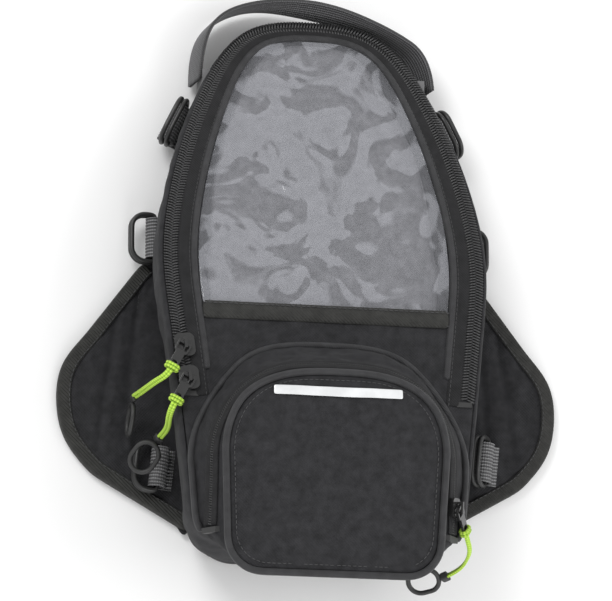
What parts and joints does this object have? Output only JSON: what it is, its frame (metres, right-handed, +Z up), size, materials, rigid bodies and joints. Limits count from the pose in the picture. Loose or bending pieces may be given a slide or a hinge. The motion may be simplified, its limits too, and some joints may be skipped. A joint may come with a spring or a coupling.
{
  "type": "motorcycle tank bag",
  "caption": "Wedge-shaped zipped tank bag with a clear phone window lid, a domed front pocket, fold-down magnet wings, a webbing handle and corded zip pulls.",
  "frame": {"origin": "on the floor plane under the middle of the bag's width, 166 mm behind the tip of the arch", "axes": "+Z up out of the base, +Y towards the arched tip, +X to the right"},
  "size_m": [0.292, 0.3593, 0.1009],
  "materials": {
    "body_fabric": "woven black nylon",
    "base_rubber": "fine grained anti-slip",
    "board": "smooth stiff sheet",
    "zipper_tape": "twill zipper tape",
    "zipper_coil": "glossy nylon coil",
    "zipper_stop": "stitched end tab",
    "piping": "satin piping",
    "window_clear": "clear flexible film",
    "binding_twill": "twill binding tape",
    "foam": "lined foam strip",
    "pocket_grey": "grey brushed liner",
    "reflective": "silver reflective tape",
    "magnet": "plated magnet",
    "webbing_grey": "ribbed grey webbing",
    "ring_plastic": "moulded black plastic",
    "slider_metal": "black enamelled slider",
    "lime_cord": "neon lime cord",
    "loop_plastic": "soft moulded loop"
  },
  "bodies": {
    "root": {"side_wall": "body_fabric", "front_panel": "body_fabric", "pocket_gusset": "body_fabric", "pocket_lower_face": "body_fabric", "base_panel": "body_fabric", "base_pad": "base_rubber", "base_board": "board", "zipper_tape_body": "zipper_tape", "zipper_coil_body": "zipper_coil", "zipper_stops": "zipper_stop", "shoulder_piping": "piping", "pocket_foot_piping": "piping", "pocket_zipper_tape": "zipper_tape", "pocket_zipper_coil": "zipper_coil", "pocket_zipper_stops": "zipper_stop", "pocket_lower_piping": "piping", "handle_anchors": "webbing_grey", "webbing_loops_left": "webbing_grey", "webbing_loops_right": "webbing_grey"},
    "lid": {"lid_panel": "body_fabric", "window_film": "window_clear", "window_binding": "binding_twill", "lid_piping": "piping", "zipper_tape_lid": "zipper_tape", "zipper_coil_lid": "zipper_coil", "phone_pocket_spacer": "foam", "phone_pocket_back": "pocket_grey"},
    "pocket_flap": {"pocket_face": "body_fabric", "pocket_face_piping": "piping", "pocket_flap_tape": "zipper_tape", "reflective_strip": "reflective"},
    "wing_left": {"wing_panel_left": "body_fabric", "wing_binding_left": "binding_twill", "wing_magnets_left": "magnet"},
    "wing_right": {"wing_panel_right": "body_fabric", "wing_binding_right": "binding_twill", "wing_magnets_right": "magnet", "webbing_loop_wing": "webbing_grey"},
    "handle": {"handle_strap": "webbing_grey"},
    "slider_front": {"slider_front": "slider_metal"},
    "puller_front": {"tab_front": "slider_metal", "cord_front": "lime_cord", "finger_loop_front": "loop_plastic"},
    "slider_rear": {"slider_rear": "slider_metal"},
    "puller_rear": {"tab_rear": "slider_metal", "cord_rear": "lime_cord", "finger_loop_rear": "loop_plastic"},
    "slider_pocket": {"slider_pocket": "slider_metal"},
    "puller_pocket": {"tab_pocket": "slider_metal", "cord_pocket": "lime_cord", "finger_loop_pocket": "loop_plastic"},
    "rings_shoulder_left": {"ring_pair_shoulder_left": "ring_plastic"},
    "rings_shoulder_right": {"ring_pair_shoulder_right": "ring_plastic"},
    "rings_middle_left": {"ring_pair_middle_left": "ring_plastic"},
    "rings_middle_right": {"ring_pair_middle_right": "ring_plastic"},
    "rings_lower_left": {"ring_pair_lower_left": "ring_plastic"},
    "rings_lower_right": {"ring_pair_lower_right": "ring_plastic"}
  },
  "joints": [
    {"name": "lid_hinge", "type": "hinge", "parent": "root", "child": "lid", "pos_m": [0, -0.038, 0.06698], "axis": [1, 0, 0], "range_deg": [0, 100]},
    {"name": "pocket_flap_hinge", "type": "hinge", "parent": "root", "child": "pocket_flap", "pos_m": [0, -0.151, 0.09109], "axis": [1, 0, 0], "range_deg": [0, 100]},
    {"name": "wing_left_fold", "type": "hinge", "parent": "root", "child": "wing_left", "pos_m": [-0.0985, -0.066, 0], "axis": [0, 1, 0], "range_deg": [-80, 0]},
    {"name": "wing_right_fold", "type": "hinge", "parent": "root", "child": "wing_right", "pos_m": [0.0985, -0.066, 0], "axis": [0, 1, 0], "range_deg": [0, 80]},
    {"name": "handle_swing", "type": "hinge", "parent": "root", "child": "handle", "pos_m": [0, 0.126, 0.015], "axis": [1, 0, 0], "range_deg": [0, 60]},
    {"name": "slider_front_slide", "type": "slide", "parent": "root", "child": "slider_front", "axis": [-0.1133, 0.9854, -0.1272], "range_m": [0, 0.024]},
    {"name": "puller_front_swing", "type": "hinge", "parent": "slider_front", "child": "puller_front", "pos_m": [-0.08245, -0.04587, 0.07026], "axis": [-0.8789, 0.4731, -0.0611], "range_deg": [0, 100]},
    {"name": "slider_rear_slide", "type": "slide", "parent": "root", "child": "slider_rear", "axis": [-0.1136, 0.9877, -0.1075], "range_m": [0, 0.005]},
    {"name": "puller_rear_swing", "type": "hinge", "parent": "slider_rear", "child": "puller_rear", "pos_m": [-0.08021, -0.06547, 0.07235], "axis": [-0.879, 0.474, -0.0516], "range_deg": [0, 100]},
    {"name": "slider_pocket_slide", "type": "slide", "parent": "root", "child": "slider_pocket", "axis": [0.0184, 0.993, 0.1167], "range_m": [0, 0.003]},
    {"name": "puller_pocket_swing", "type": "hinge", "parent": "slider_pocket", "child": "puller_pocket", "pos_m": [0.07208, -0.1385, 0.08575], "axis": [-0.46, -0.7255, 0.5119], "range_deg": [0, 100]},
    {"name": "rings_shoulder_left_swing", "type": "hinge", "parent": "root", "child": "rings_shoulder_left", "pos_m": [-0.0805, 0.101, 0.0108], "axis": [0.436, 0.9, 0], "range_deg": [-82, 4]},
    {"name": "rings_shoulder_right_swing", "type": "hinge", "parent": "root", "child": "rings_shoulder_right", "pos_m": [0.0805, 0.101, 0.0108], "axis": [0.436, -0.9, 0], "range_deg": [-82, 4]},
    {"name": "rings_middle_left_swing", "type": "hinge", "parent": "root", "child": "rings_middle_left", "pos_m": [-0.0915, 0.031, 0.0108], "axis": [0, 1, 0], "range_deg": [-4, 40]},
    {"name": "rings_middle_right_swing", "type": "hinge", "parent": "root", "child": "rings_middle_right", "pos_m": [0.0915, 0.031, 0.0108], "axis": [0, -1, 0], "range_deg": [-4, 40]},
    {"name": "rings_lower_left_swing", "type": "hinge", "parent": "root", "child": "rings_lower_left", "pos_m": [-0.088, -0.105, 0.0108], "axis": [0.0995, 0.995, 0], "range_deg": [-4, 2]},
    {"name": "rings_lower_right_swing", "type": "hinge", "parent": "wing_right", "child": "rings_lower_right", "pos_m": [0.103, -0.095, 0.012], "axis": [0.0995, 0.995, 0], "range_deg": [-40, 100]}
  ]
}
